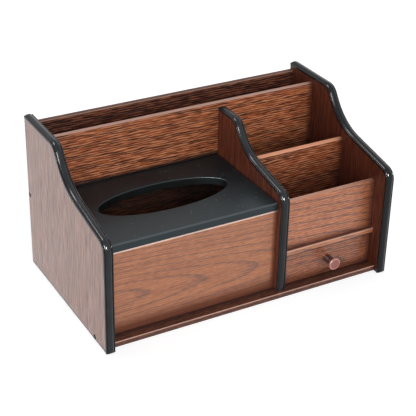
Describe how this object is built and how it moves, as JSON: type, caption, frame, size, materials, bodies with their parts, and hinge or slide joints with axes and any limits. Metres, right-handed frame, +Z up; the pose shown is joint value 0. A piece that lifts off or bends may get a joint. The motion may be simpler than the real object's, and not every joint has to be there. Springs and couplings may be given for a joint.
{
  "type": "tissue box with drawer",
  "caption": "Wooden desk organiser with a lidded tissue compartment, open pockets, a rear slot and a small drawer, edged in black moulding.",
  "frame": {"origin": "on the surface that the organiser stands on, under the middle of its overall box", "axes": "+X to the user's right, +Y to the back, +Z up; the drawer and the front face -Y"},
  "size_m": [0.335, 0.196, 0.178],
  "materials": {
    "wood_side": "satin walnut-grain foil over MDF",
    "wood_board": "satin walnut-grain foil over MDF",
    "wood_inner": "satin walnut-grain foil over MDF",
    "edge_black": "satin black PVC edge moulding",
    "lid_black": "matte charcoal leatherette foil over MDF",
    "knob_wood": "satin lacquer",
    "plain_wood": "bare beech",
    "screw_steel": "zinc plated",
    "screw_black": "black oxide steel"
  },
  "bodies": {
    "carcass": {"back_board": "wood_inner", "back_screws": "screw_steel", "base_board": "wood_board", "base_screws": "screw_steel", "board_dowels": "plain_wood", "divider_board": "wood_inner", "divider_edge_moulding": "edge_black", "drawer_shelf": "wood_board", "left_edge_moulding": "edge_black", "left_side_board": "wood_side", "pocket_front_board": "wood_board", "pocket_partition": "wood_inner", "rear_partition": "wood_inner", "right_edge_moulding": "edge_black", "right_side_board": "wood_side", "side_screws": "screw_black", "tissue_front_board": "wood_board"},
    "lid": {"lid_board": "lid_black", "lid_pivot_pins": "screw_steel"},
    "drawer": {"drawer_front": "wood_board", "drawer_left_side": "plain_wood", "drawer_right_side": "plain_wood", "drawer_back": "plain_wood", "drawer_bottom": "plain_wood", "drawer_brads": "screw_steel", "drawer_dowels": "plain_wood", "drawer_knob": "knob_wood", "knob_screw": "screw_steel"}
  },
  "joints": [
    {"name": "lid_hinge", "type": "hinge", "parent": "carcass", "child": "lid", "pos_m": [0, 0.0455, 0.1045], "axis": [-1, 0, 0], "range_deg": [0, 90]},
    {"name": "drawer_slide", "type": "slide", "parent": "carcass", "child": "drawer", "axis": [0, -1, 0], "range_m": [0, 0.095]}
  ]
}
